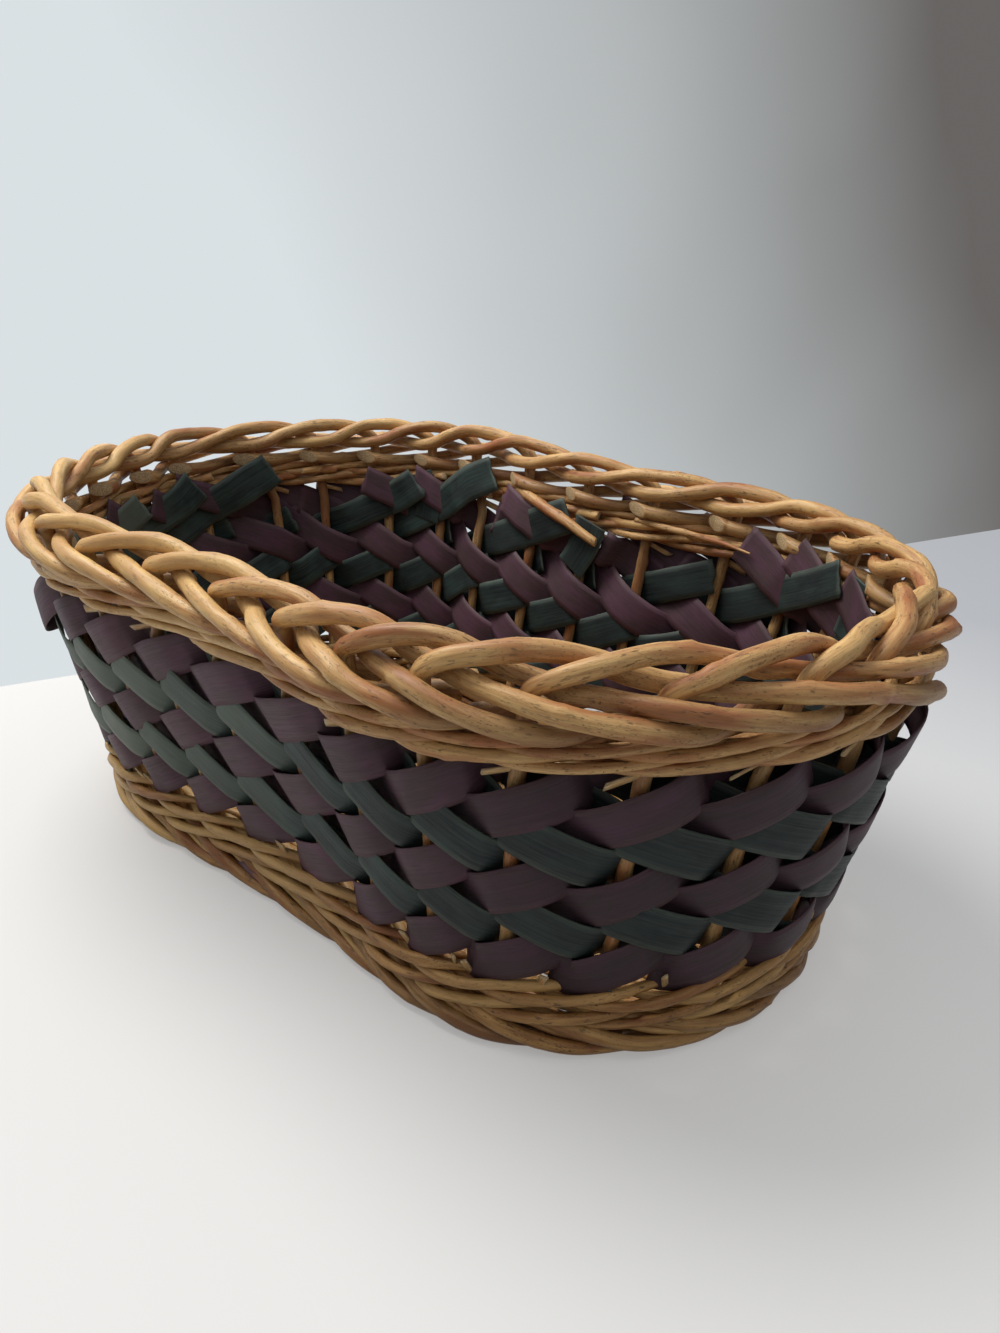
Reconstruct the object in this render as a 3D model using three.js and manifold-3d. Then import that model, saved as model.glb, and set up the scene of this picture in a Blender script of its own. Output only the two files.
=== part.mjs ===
// A woven basket with willow stakes, waling and border, and walls of dyed chip strips.
// Millimetres, +Z up. It stands on z = 0 and is centred on the Z axis, its long side along X.
import * as THREE from "three";
import { mergeVertices } from "three/addons/utils/BufferGeometryUtils.js";
import Module from "manifold-3d";

const wasm = await Module();
wasm.setup();

// Overall sizes: two round lobes joined by a slight waist, wider at the rim than at the foot
const basketHeight = 146;
const rimLength = 400;
const rimLobeWidth = 260;
const rimWaistShare = 0.954;
const rimWaistWidth = rimLobeWidth * rimWaistShare;
const footLength = 346;
const footLobeWidth = 192;
const footWaistShare = 0.948;
const footWaistWidth = footLobeWidth * footWaistShare;

// Clearance between touching pieces
const seat = 0.35;

// Upright stakes
const stakeCount = 30;
const firstStakeShare = 0.6;
const stakeRadius = 2.5;
const stakeSides = 5;

// Border strokes: each stake bends over at the rim and runs on beside its neighbours
const strokeRadius = 3.2;
const strokeTipRadius = 2.3;
const borderReach = 13.3;

// Waling: rows of three rods that pass before two stakes and behind one
const waleRodRadius = 1.7;
const waleRise = 2.05;
const waleRowPitch = 7.8;
const upperWaleRows = 2;
const lowerWaleRows = 2;
const upperWaleDrop = 31.6;
const upperWaleFoot = basketHeight - upperWaleDrop;

// Chip strips of the wall: how many stroke rows and half rows fill it, and the strip's height and
// first crossing as shares of the rise from one stake to the next
const stripThickness = 0.9;
const wallRiseCount = 5.68;
const stripHeightShare = 0.815;
const firstCrossingShare = 0.55;
const purpleOver = 3.45;
const purpleGap = -2.75;
const purpleUnder = -5.8;
const greenUnder = -3.95;
const greenOver = 1.6;
const hoopHeight = 2.4;
const hoopThickness = 0.6;

// Foot ring and base
const footHeight = 11.6;
const footReach = 9.5;
const footInset = 6;
const footChamfer = 3;
const baseLevel = 4.2;
const baseThickness = 5;
const matRowPitch = 4.3;
const matRowRadius = 1.7;
const matSeamThickness = 1.2;
const baseStickRadius = 1.7;
const baseCrossSticks = 7;
const baseLongSticks = 3;
const baseCrossPitch = 38;
const baseLongPitch = 30;

// Colours
const willowTan = 0xc49a63;
const willowBrown = 0xa9783f;
const dyedPurple = 0x4b3540;
const dyedGreen = 0x2e4440;

// Two lobes of radius lobe, centred on the X axis, joined by arcs that leave the half width waist
function outlineAt(z) {
  const up = z / basketHeight;
  const between = (foot, rim) => foot - footReach + (rim - borderReach - foot + footReach) * up;
  const half = between(footLength / 2, rimLength / 2);
  const lobe = between(footLobeWidth / 2, rimLobeWidth / 2);
  const waist = between(footWaistWidth / 2, rimWaistWidth / 2);
  const centre = half - lobe;
  const waistRadius = (centre ** 2 + waist ** 2 - lobe ** 2) / (2 * (lobe - waist));
  const waistCentre = waist + waistRadius;
  const lean = Math.atan2(centre, waistCentre);
  const lobeArc = lobe * (Math.PI / 2 + lean);
  return { lobe, centre, waistRadius, waistCentre, lean, lobeArc, quarter: lobeArc + waistRadius * lean };
}

// The wall line at a height, so many stake spacings round from the +X end: a point and the way out
function wallLine(turn, z) {
  const line = outlineAt(z);
  const share = (((turn + firstStakeShare) / stakeCount) % 1 + 1) % 1;
  const quarters = share * 4;
  const quadrant = Math.floor(quarters);
  const along = quadrant % 2 === 0 ? quarters - quadrant : 1 - (quarters - quadrant);
  const run = along * line.quarter;
  let x, y, outX, outY;
  if (run <= line.lobeArc) {
    const angle = run / line.lobe;
    outX = Math.cos(angle);
    outY = Math.sin(angle);
    x = line.centre + line.lobe * outX;
    y = line.lobe * outY;
  } else {
    const angle = line.lean - (run - line.lobeArc) / line.waistRadius;
    outX = -Math.sin(angle);
    outY = Math.cos(angle);
    x = line.waistRadius * Math.sin(angle);
    y = line.waistCentre - line.waistRadius * Math.cos(angle);
  }
  const sideX = quadrant === 0 || quadrant === 3 ? 1 : -1;
  const sideY = quadrant < 2 ? 1 : -1;
  return {
    point: new THREE.Vector3(x * sideX, y * sideY, z),
    outward: new THREE.Vector3(outX * sideX, outY * sideY, 0),
  };
}

// A point so far outside the wall line
function onWall(turn, z, out) {
  const { point, outward } = wallLine(turn, z);
  return point.addScaledVector(outward, out);
}

// A closed surface over rings of points that run anticlockwise seen from the far end
function skin(rings, closed) {
  const sides = rings[0].length;
  const positions = rings.flat().flatMap((p) => [p.x, p.y, p.z]);
  const faces = [];
  const last = closed ? rings.length : rings.length - 1;
  for (let i = 0; i < last; i++) {
    const here = i * sides;
    const next = ((i + 1) % rings.length) * sides;
    for (let j = 0; j < sides; j++) {
      const k = (j + 1) % sides;
      faces.push(here + j, here + k, next + k, here + j, next + k, next + j);
    }
  }
  if (!closed) {
    const end = (rings.length - 1) * sides;
    for (let j = 1; j < sides - 1; j++) {
      faces.push(0, j + 1, j, end, end + j, end + j + 1);
    }
  }
  const geometry = new THREE.BufferGeometry();
  geometry.setAttribute("position", new THREE.Float32BufferAttribute(positions, 3));
  geometry.setIndex(faces);
  return geometry;
}

// A round rod through stations of a point, the way out of the wall there, and a radius
function rod(stations, sides, closed) {
  const count = stations.length;
  const rings = stations.map(({ point, outward, radius }, i) => {
    const before = stations[closed ? (i + count - 1) % count : Math.max(i - 1, 0)].point;
    const after = stations[closed ? (i + 1) % count : Math.min(i + 1, count - 1)].point;
    const along = after.clone().sub(before).normalize();
    const a = outward.clone().addScaledVector(along, -outward.dot(along)).normalize();
    const b = along.clone().cross(a);
    return Array.from({ length: sides }, (_, j) => {
      const angle = (2 * Math.PI * j) / sides;
      const spoke = a.clone().multiplyScalar(Math.cos(angle) * radius);
      return point.clone().add(spoke).addScaledVector(b, Math.sin(angle) * radius);
    });
  });
  return skin(rings, closed);
}

// A station of a rod on the wall
function station(turn, z, out, radius) {
  return { point: onWall(turn, z, out), outward: wallLine(turn, z).outward, radius };
}

// A flat band along the wall through stations of turn, low edge, high edge and place out
function band(stations, thickness, closed) {
  const rings = stations.map(({ turn, low, high, out }) => [
    onWall(turn, high, out + thickness / 2),
    onWall(turn, low, out + thickness / 2),
    onWall(turn, low, out - thickness / 2),
    onWall(turn, high, out - thickness / 2),
  ]);
  return skin(rings, closed);
}

// Joins and cuts on closed geometries
function solid(geometry) {
  const merged = mergeVertices(geometry);
  const vertProperties = new Float32Array(merged.attributes.position.array);
  const triVerts = new Uint32Array(merged.index.array);
  return new wasm.Manifold(new wasm.Mesh({ numProp: 3, vertProperties, triVerts }));
}

function geometryOf(manifold) {
  const mesh = manifold.getMesh();
  const geometry = new THREE.BufferGeometry();
  geometry.setAttribute("position", new THREE.Float32BufferAttribute(mesh.vertProperties, 3));
  geometry.setIndex(Array.from(mesh.triVerts));
  return geometry;
}

const basket = new THREE.Group();

function addPiece(name, geometry, color) {
  const material = new THREE.MeshStandardMaterial({ color, roughness: 0.75, metalness: 0 });
  const mesh = new THREE.Mesh(geometry, material);
  mesh.name = name;
  basket.add(mesh);
}

// Stakes with their border strokes. Along each stroke: spacings on from the stake, place out as
// a share of the stroke's diameter, drop from the rim to the rod's middle as a share of the same,
// and radius as a share of the way from the stake's to the stroke's
const strokeShares = [
  [0, 0, 3.0, 0],
  [0, 0.08, 2.05, 0.3],
  [0.04, 0.2, 1.45, 1],
  [0.22, 0.19, 1.04, 1],
  [0.5, -0.08, 0.75, 1],
  [0.82, -0.6, 0.56, 1],
  [1.15, -0.86, 0.62, 1],
  [1.48, -1.0, 1.26, 1],
  [1.75, -1.02, 1.72, 1],
  [2.07, -1.0, 1.84, 1],
  [2.3, -0.42, 1.92, 1],
  [2.52, 0.12, 1.93, 1],
  [2.95, 1.13, 1.9, 1],
  [3.35, 1.56, 2.2, 0.9],
  [3.85, 1.62, 2.9, 0.6],
];
const strokeEndShares = [4.25, 1.62, 3.45];

// The wall leans out, so a stake's foot is cut on the slant and its inner edge is its lowest point
const wallLean = (rimLobeWidth - footLobeWidth) / (2 * basketHeight);
const stakeFoot = footHeight + seat + stakeRadius * wallLean;

function stake(number) {
  const size = 2 * strokeRadius;
  const stations = [station(number, stakeFoot, 0, stakeRadius)];
  for (const [onward, outShare, dropShare, fatShare] of strokeShares) {
    const radius = stakeRadius + (strokeRadius - stakeRadius) * fatShare;
    stations.push(station(number + onward, basketHeight - dropShare * size, outShare * size, radius));
  }
  const [onward, outShare, dropShare] = strokeEndShares;
  stations.push(station(number + onward, basketHeight - dropShare * size, outShare * size, strokeTipRadius));
  return rod(stations, stakeSides, false);
}

for (let i = 0; i < stakeCount; i++) {
  addPiece(`stake_${String(i + 1).padStart(2, "0")}`, stake(i), willowTan);
}

// Waling rods: out before two stakes, in behind the third. Stake spacings within a period, place
// out as a share of the swing, and rise as a share of the rod's rise
const waleSpan = 3;
const waleShares = [
  [0, 1, -1],
  [1, 1, 1],
  [1.5, 0, 1],
  [2, -1, 0],
  [2.5, 0, -1],
];
const waleSides = 4;

function waleRod(level, first) {
  const swing = stakeRadius + waleRodRadius + seat;
  const stations = [];
  for (let period = 0; period < stakeCount / waleSpan; period++) {
    for (const [onward, outShare, riseShare] of waleShares) {
      const turn = period * waleSpan + first + onward;
      stations.push(station(turn, level + riseShare * waleRise, outShare * swing, waleRodRadius));
    }
  }
  return rod(stations, waleSides, true);
}

function waling(name, rows, lowest, color) {
  for (let row = 0; row < rows; row++) {
    const level = lowest + waleRise + waleRodRadius + row * waleRowPitch;
    for (let first = 0; first < waleSpan; first++) {
      addPiece(`${name}_row${row + 1}_rod${first + 1}`, waleRod(level, first), color);
    }
  }
}

waling("upper_wale", upperWaleRows, upperWaleFoot, willowTan);
waling("lower_wale", lowerWaleRows, footHeight + seat, willowBrown);

// Chip strips: purple ones climb to the right seen from outside and lie before every second stake;
// green ones fall to the right, pass behind every stake and show in every second gap
const lowerWaleHeight = 2 * (waleRise + waleRodRadius) + (lowerWaleRows - 1) * waleRowPitch;
const wallFoot = footHeight + 2 * seat + lowerWaleHeight;
const wallTop = upperWaleFoot - seat;
const stripRise = (wallTop - wallFoot) / wallRiseCount;
const stripHeight = stripRise * stripHeightShare;
const stripCrossingLevel = wallFoot + stripRise * firstCrossingShare;
const purpleShares = [0, 0.67, 0.83, 1.17, 1.33];
const purplePlaces = [purpleOver, purpleGap, purpleUnder, purpleUnder, purpleGap];
const greenShares = [0, 1, 1.3, 1.7];
const greenPlaces = [greenUnder, greenUnder, greenOver, greenOver];
const stripPeriod = 2;

function strip(first, begin, end, levelAtStart, rise, shares, places) {
  const stations = [];
  const firstPeriod = Math.floor(begin / stripPeriod);
  const lastPeriod = Math.floor(end / stripPeriod);
  for (let period = firstPeriod; period <= lastPeriod; period++) {
    shares.forEach((share, i) => {
      const onward = period * stripPeriod + share;
      if (onward < begin || onward > end) return;
      const middle = levelAtStart + rise * onward;
      const low = Math.max(middle - stripHeight / 2, wallFoot);
      const high = Math.min(middle + stripHeight / 2, wallTop);
      stations.push({ turn: first + onward, low, high, out: places[i] });
    });
  }
  return band(stations, stripThickness, false);
}

function hoop(low, out) {
  const stations = [];
  for (let i = 0; i < stakeCount; i++) {
    stations.push({ turn: i, low, high: low + hoopHeight, out });
  }
  return band(stations, hoopThickness, true);
}

// The strips of one colour are one lattice, held together by a hoop at their hidden ends
function lattice(oneStrip, hoopGeometry) {
  let joined = solid(hoopGeometry);
  for (let i = 0; i < stakeCount; i++) {
    joined = joined.add(solid(oneStrip(i)));
  }
  return geometryOf(joined);
}

const purpleBeginShare = -0.67;
const purpleEndShare = 5.17;
const greenEndShare = 5;
const greenSteps = 4.5;
const greenStart = stripCrossingLevel + greenSteps * stripRise;
const purpleStrip = (i) =>
  strip(i, purpleBeginShare, purpleEndShare, stripCrossingLevel, stripRise, purpleShares, purplePlaces);
const greenStrip = (i) => strip(i, 0, greenEndShare, greenStart, -stripRise, greenShares, greenPlaces);

addPiece("purple_strips", lattice(purpleStrip, hoop(wallTop - hoopHeight, purpleUnder)), dyedPurple);
const greenHoopLevel = greenStart - (stripRise + hoopHeight) / 2;
const greenHoopOut = greenUnder - hoopThickness / 2;
addPiece("green_strips", lattice(greenStrip, hoop(greenHoopLevel, greenHoopOut)), dyedGreen);

// Foot ring: flat below, where the basket stands
const footSteps = 60;

function footRing() {
  const section = [
    [-footInset, 0],
    [-footInset, footHeight],
    [footReach - footChamfer, footHeight],
    [footReach, footHeight - footChamfer],
    [footReach, footChamfer],
    [footReach - footChamfer, 0],
  ];
  const rings = [];
  for (let i = 0; i < footSteps; i++) {
    const turn = (i * stakeCount) / footSteps;
    rings.push(section.map(([out, z]) => onWall(turn, z, out)));
  }
  return skin(rings, true);
}

addPiece("foot_ring", footRing(), willowBrown);

// Base mat, inside the foot ring, with sticks across below it and lengthwise above it
const matInset = footInset + seat;

// The space inside the foot ring
function footWell() {
  const corners = [];
  for (let i = 0; i < footSteps; i++) {
    const p = onWall((i * stakeCount) / footSteps, baseLevel, -matInset);
    corners.push(new THREE.Vector2(p.x, p.y));
  }
  const well = new THREE.ExtrudeGeometry(new THREE.Shape(corners), {
    depth: footHeight,
    bevelEnabled: false,
  });
  well.deleteAttribute("normal");
  well.deleteAttribute("uv");
  return well;
}

// Rows of willow that run lengthwise, each high over one cross stick and low over the next. A ring
// goes along the upper side of a crest or seam and back along its lower side
function wovenRows() {
  const middle = baseLevel + baseThickness / 2;
  const swing = baseThickness / 2 - matRowRadius;
  const rows = 2 * Math.ceil(footLobeWidth / matRowPitch / 2) + 1;
  const columns = 2 * Math.ceil(footLength / baseCrossPitch / 2) + 1;
  const point = (line, column, side) => {
    const isCrest = line % 2 === 1;
    const way = ((line - 1) / 2 + column) % 2 === 0 ? 1 : -1;
    const level = isCrest ? middle + way * swing : middle;
    const half = isCrest ? matRowRadius : matSeamThickness / 2;
    const x = (column - (columns - 1) / 2) * baseCrossPitch;
    return new THREE.Vector3(x, (line - rows) * matRowPitch / 2, level + side * half);
  };
  const rings = [];
  for (let line = 0; line <= 2 * rows; line++) {
    const over = Array.from({ length: columns }, (_, i) => point(line, i, 1));
    const under = Array.from({ length: columns }, (_, i) => point(line, columns - 1 - i, -1));
    rings.push([...over, ...under]);
  }
  return skin(rings, false);
}

const baseMat = geometryOf(solid(wovenRows()).intersect(solid(footWell())));
addPiece("base_mat", baseMat, willowTan);

// Half the clear length inside the foot ring along a line parallel to X or Y
function clearHalf(offset, alongX) {
  const line = outlineAt(0);
  const lobe = line.lobe - matInset;
  if (alongX) {
    return line.centre + Math.sqrt(lobe ** 2 - offset ** 2);
  }
  const tangent = line.centre * line.waistRadius / (line.lobe + line.waistRadius);
  if (Math.abs(offset) < tangent) {
    return line.waistCentre - Math.sqrt((line.waistRadius + matInset) ** 2 - offset ** 2);
  }
  return Math.sqrt(lobe ** 2 - (Math.abs(offset) - line.centre) ** 2);
}

const stickSides = 8;

function baseStick(offset, level, alongX) {
  const half = clearHalf(Math.abs(offset) + baseStickRadius, alongX) - seat;
  const stick = new THREE.CylinderGeometry(baseStickRadius, baseStickRadius, 2 * half, stickSides);
  if (alongX) {
    stick.rotateZ(Math.PI / 2);
    stick.translate(0, offset, level);
  } else {
    stick.translate(offset, 0, level);
  }
  return stick;
}

for (let i = 0; i < baseCrossSticks; i++) {
  const offset = (i - (baseCrossSticks - 1) / 2) * baseCrossPitch;
  const level = baseLevel - seat - baseStickRadius;
  addPiece(`base_cross_stick_${i + 1}`, baseStick(offset, level, false), willowBrown);
}
for (let i = 0; i < baseLongSticks; i++) {
  const offset = (i - (baseLongSticks - 1) / 2) * baseLongPitch;
  const level = baseLevel + baseThickness + seat + baseStickRadius;
  addPiece(`base_long_stick_${i + 1}`, baseStick(offset, level, true), willowBrown);
}

export default basket;
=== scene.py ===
"""Looks for a woven basket: willow stakes, border, waling and foot, and walls of dyed chip strips."""

import math

import bpy
import numpy as np
from bpy.props import FloatProperty, FloatVectorProperty, IntProperty, PointerProperty
from mathutils import Matrix, Vector


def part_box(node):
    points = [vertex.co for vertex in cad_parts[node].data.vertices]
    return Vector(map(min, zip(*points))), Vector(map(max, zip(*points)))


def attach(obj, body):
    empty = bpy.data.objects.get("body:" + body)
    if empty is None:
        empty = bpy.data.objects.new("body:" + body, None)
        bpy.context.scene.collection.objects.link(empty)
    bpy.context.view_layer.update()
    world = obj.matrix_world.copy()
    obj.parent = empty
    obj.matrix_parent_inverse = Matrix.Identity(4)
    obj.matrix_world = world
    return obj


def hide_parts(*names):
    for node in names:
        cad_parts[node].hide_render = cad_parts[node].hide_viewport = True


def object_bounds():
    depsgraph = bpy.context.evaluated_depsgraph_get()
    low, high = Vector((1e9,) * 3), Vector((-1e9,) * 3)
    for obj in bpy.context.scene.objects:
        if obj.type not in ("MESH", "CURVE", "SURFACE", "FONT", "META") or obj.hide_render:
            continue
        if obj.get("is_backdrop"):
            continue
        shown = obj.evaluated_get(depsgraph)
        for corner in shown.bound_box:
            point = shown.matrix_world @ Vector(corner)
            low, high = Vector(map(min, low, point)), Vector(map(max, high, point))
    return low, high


bl_info = {
    "name": "Woven basket",
    "version": (1, 0, 0),
    "blender": (4, 5, 0),
    "location": "3D View > Sidebar > Basket",
    "description": "Builds a willow and chip basket round its frame",
    "category": "Object",
}

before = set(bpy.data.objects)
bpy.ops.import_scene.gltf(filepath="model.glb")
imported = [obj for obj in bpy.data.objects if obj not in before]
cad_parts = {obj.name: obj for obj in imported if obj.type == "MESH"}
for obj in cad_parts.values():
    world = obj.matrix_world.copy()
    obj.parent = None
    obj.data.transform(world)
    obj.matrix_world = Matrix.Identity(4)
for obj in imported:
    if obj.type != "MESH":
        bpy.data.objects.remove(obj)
CAD_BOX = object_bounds()

MM = 0.001


def length(name, description, default):
    return FloatProperty(
        name=name, description=description, default=default, min=0.0, max=2.0, precision=4, unit="LENGTH"
    )


def colour(name, description, default):
    return FloatVectorProperty(
        name=name, description=description, default=default, min=0.0, max=1.0, size=3, subtype="COLOR"
    )


class BasketShape(bpy.types.PropertyGroup):
    """Sizes of the basket and of what it is woven from."""

    height: length("Height", "From the floor to the top of the border", 0.146)
    rim_length: length("Rim length", "Length over the border", 0.400)
    rim_width: length("Rim width", "Width over the border at the two lobes", 0.260)
    rim_waist: length("Rim waist", "Width over the border at the waist", 0.248)
    foot_length: length("Foot length", "Length over the foot border", 0.346)
    foot_width: length("Foot width", "Width over the foot at the two lobes", 0.192)
    foot_waist: length("Foot waist", "Width over the foot at the waist", 0.182)
    border_reach: length("Border reach", "How far the border stands out of the wall line", 0.0133)
    foot_reach: length("Foot reach", "How far the foot stands out of the wall line", 0.0095)
    stake_radius: length("Stake radius", "Upright willow stakes", 0.00245)
    stroke_radius: length("Stroke radius", "The same rods where they form the border", 0.0030)
    wale_radius: length("Waling radius", "Thin rods of the waling", 0.0019)
    foot_radius: length("Foot rod radius", "Slanting rods of the foot border", 0.0025)
    purple_width: length("Purple strip width", "Chip strips that climb to the right", 0.0162)
    green_width: length("Green strip width", "Chip strips that fall to the right", 0.0152)
    strip_thickness: length("Strip thickness", "Chip strips of the wall", 0.0008)
    seed: IntProperty(name="Seed", description="Changes the small irregularities", default=7)


class BasketFinish(bpy.types.PropertyGroup):
    """Colours of the willow, the dyed strips and the stage."""

    willow_pale: colour("Pale willow", "Sunlit tops of the border rods", (0.72, 0.455, 0.185))
    willow_tan: colour("Tan willow", "Most of the border rods", (0.41, 0.2, 0.072))
    willow_straw: colour("Straw willow", "Pale streaks of the low rods", (0.50, 0.275, 0.092))
    willow_gold: colour("Golden willow", "Low rods, more weathered", (0.245, 0.115, 0.034))
    willow_dark: colour("Dark bark", "Specks, cracks and leaf scars", (0.075, 0.036, 0.014))
    willow_cut: colour("Cut end", "Freshly cut wood", (0.62, 0.46, 0.26))
    purple: colour("Purple dye", "Strips that climb to the right", (0.070, 0.040, 0.046))
    purple_bright: colour("Bright purple", "Less faded places", (0.100, 0.045, 0.070))
    green: colour("Green dye", "Strips that fall to the right", (0.009, 0.020, 0.022))
    green_bright: colour("Worn green", "Rubbed places", (0.027, 0.056, 0.052))
    floor: colour("Floor", "White sheet under the basket", (0.90, 0.89, 0.87))
    # The far tints are painted shade: the same pale sheets, darker where less light reaches
    floor_painted_shade: colour("Far floor", "The same sheet further back", (0.53, 0.545, 0.575))
    wall: colour("Backdrop", "Pale sheet behind the basket", (0.70, 0.75, 0.77))
    wall_painted_shade: colour("Far backdrop", "The same sheet further to the right", (0.135, 0.127, 0.122))


# How the weave runs. A turn is one spacing between stakes, counted from the +X end
STAKES = 30
FIRST_STAKE = 0.6
SPACING = 32.0
# How far each stake has moved on from its even place, at the rim and in the wall
RIM_SHIFTS = (
    0.02, -0.05, -0.08, -0.22, -0.33, -0.28, -0.08, 0.05, 0.3, 0.42,
    0.2, 0.14, 0.08, 0.17, 0.4, 0.1, -0.02, 0.05, 0, -0.05,
    0, 0.05, 0.12, 0.23, 0.15, -0.07, -0.18, -0.13, 0.1, 0,
)
WALL_SHIFTS = (
    0, -0.05, -0.08, -0.22, -0.33, -0.28, -0.1, -0.1, -0.05, 0.15,
    -0.05, -0.1, 0, -0.2, 0, 0, 0, 0, -0.05, -0.1,
    -0.2, -0.3, -0.25, 0, 0.08, -0.08, -0.24, -0.18, -0.08, 0,
)
SHIFTS_MEET = (0.104, 0.130)

# Stake and border stroke: turns onward, millimetres out, millimetres down from the top, and
# share of the way from the stake's radius to the stroke's
STROKE = (
    (0, 0, 20, 0), (0, 0.5, 14.8, 0.3), (0.03, 1.35, 11.2, 0.7),
    (0.22, 1.4, 7.9, 0.95), (0.5, -0.4, 5.1, 1.05), (0.82, -3.7, 3.7, 1.05),
    (1.15, -5.6, 4.1, 1.05), (1.48, -6.6, 7.1, 1), (1.75, -6.7, 10, 1),
    (2.07, -6.4, 11.6, 1), (2.3, -2.9, 12.2, 1), (2.55, 1.2, 12.3, 1),
    (2.95, 7, 12.1, 0.95), (3.35, 9.6, 14.3, 0.9), (3.85, 9.4, 18, 0.8),
    (4.2, 7.2, 20.4, 0.8), (4.5, 0.8, 21.2, 0.9), (4.8, -5.2, 20.2, 1.1),
    (5.14, -6.9, 18.9, 1.25),
)

# Waling over a span of three turns: turns onward, place out and rise, both as shares
SPAN = 3
WALE = (
    (0, 1, -1), (0.5, 1.12, -0.35), (1, 1, 0.8),
    (1.5, 0, 1), (2, -1, 0.1), (2.5, 0, -1),
)
# How the ends of such a rod are moved: turns, millimetres up and out, and radius
BUTT = (-0.3, 0.4, -1.2, 0)
TIP = (0.3, -0.4, -1.6, 0)
# Both bands: seed, lowest level, pitch of the rows and rise in millimetres, finish, slot, tones
WALINGS = {
    "upper_wale": (100, 114.9, 4.9, 1.7, "border_willow", "willow_light", (-0.7, 0.5)),
    "lower_wale": (150, 15.6, 7.4, 2.4, "golden_willow", "willow_brown", (-0.5, 0.5)),
}

# Place out of the strips over two turns, in millimetres
PURPLE_PLACES = (
    (0, 4.6), (0.25, 3.8), (0.5, 0), (0.75, -3.8),
    (1, -4.9), (1.25, -3.8), (1.5, 0), (1.75, 3.8),
)
GREEN_PLACES = (
    (0, -3.3), (0.2, -4.2), (0.43, -4.6), (0.63, -3.5), (0.8, -0.3),
    (0.96, 3.3), (1.18, 4.2), (1.45, 4.6), (1.72, 3.7), (1.9, 0.3),
)
# Levels of the strips in millimetres, and how much they rise over a turn
PURPLE_LEVEL = 36.0
GREEN_LEVEL = 104.4
LOWEST_LEVEL = 31.5
TUCK_LEVEL = 104.5
STRIP_RISE = 15.2
# First and last turn of a strip, and its place out where it is tucked in at the top
PURPLE_RUN = (-0.55, 5.22)
GREEN_RUN = (-0.55, 5.05)
PURPLE_TUCK = -3.8
PURPLE_TUCK_OUTSIDE = 3.2
GREEN_TUCK = -5.2

# Flat pale tips of packing beside each stake: foot and tip in turns, millimetres up and out,
# and how often they show
SLIVERS = (
    ((0, 110.6, 1.2), (-0.3, 107.4, 3.2), 0.8),
    ((0.35, 24, 1), (0.40, 32, 4.4), 0.6),
    ((0.60, 24, 1), (0.52, 31, 4), 0.5),
)

# Foot border strand: turns onward, millimetres out, millimetres up
FOOT_STRAND = (
    (-0.35, -2.5, 14.5), (0.1, 1.4, 13), (0.55, 4.6, 9.9), (1, 6.2, 6.6),
    (1.45, 6, 4), (1.95, 4.2, 2.75), (2.5, 1.2, 2.6), (2.95, -2, 2.9),
)
# Rods that lie inside the foot: millimetres out and up, and radius
FOOT_RODS = ((-4.4, 13, 1.8), (-2.2, 8.6, 2.5), (-3, 3.4, 2.6))

# Millimetres that the wall leaves its even line, by turns and by metres up. Its ends belly out
BELLY_BY_TURN = (
    (0, 1), (1.4, 0.9), (3.2, 0), (14.6, 0), (16.4, 0.5),
    (18.2, 0.5), (20, 0), (27.8, 0), (29.2, 0.8), (30, 1),
)
BELLY_BY_HEIGHT = (
    (0.015, 0.5), (0.045, 2.6), (0.075, 4.8), (0.105, 5.4), (0.119, 3.6), (0.131, 0.6), (0.146, 0),
)
# The far rim was pulled wider by hand
PULL_BY_TURN = ((0.2, 0), (1, 2.5), (2, 0), (6, 0), (8.5, 4.5), (10.5, 3.5), (12, 0))
PULL_BY_HEIGHT = ((0.09, 0), (0.128, 1))
# The foot is wider at the near side
SPREAD_BY_TURN = ((15, 0), (19, 1.2), (23, 2), (28, 2), (29.5, 0))
SPREAD_BY_HEIGHT = ((0.012, 1), (0.03, 0))


def shape():
    return bpy.context.scene.basket_shape


def colours():
    return bpy.context.scene.basket_finish


def placed(name, data):
    """A new object of the scene that holds a mesh, a lamp or a camera."""
    piece = bpy.data.objects.new(name, data)
    bpy.context.scene.collection.objects.link(piece)
    return piece


def from_table(at, table, period=None):
    """The value at a place, on straight lines between the rows of a table."""
    places, values = zip(*table)
    return np.interp(at, places, values, period=period)


def uneven(turn, up):
    """Stakes are spaced by hand, so a turn is a little longer here and shorter there."""
    share = np.clip((up - SHIFTS_MEET[0]) / (SHIFTS_MEET[1] - SHIFTS_MEET[0]), 0, 1)
    at = np.arange(STAKES + 1)
    turn_in = np.mod(turn, STAKES)
    rim = np.interp(turn_in, at, RIM_SHIFTS + RIM_SHIFTS[:1])
    low = np.interp(turn_in, at, WALL_SHIFTS + WALL_SHIFTS[:1])
    return turn + low + (rim - low) * share


def bellied(turn, up):
    """How far the wall stands out of its even line."""
    turn_in = np.mod(turn, STAKES)
    belly = from_table(turn_in, BELLY_BY_TURN) * from_table(up, BELLY_BY_HEIGHT)
    pulled = from_table(turn_in, PULL_BY_TURN) * from_table(up, PULL_BY_HEIGHT)
    spread = from_table(turn_in, SPREAD_BY_TURN) * from_table(up, SPREAD_BY_HEIGHT)
    return (np.maximum(belly, pulled) + spread) * MM


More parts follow.
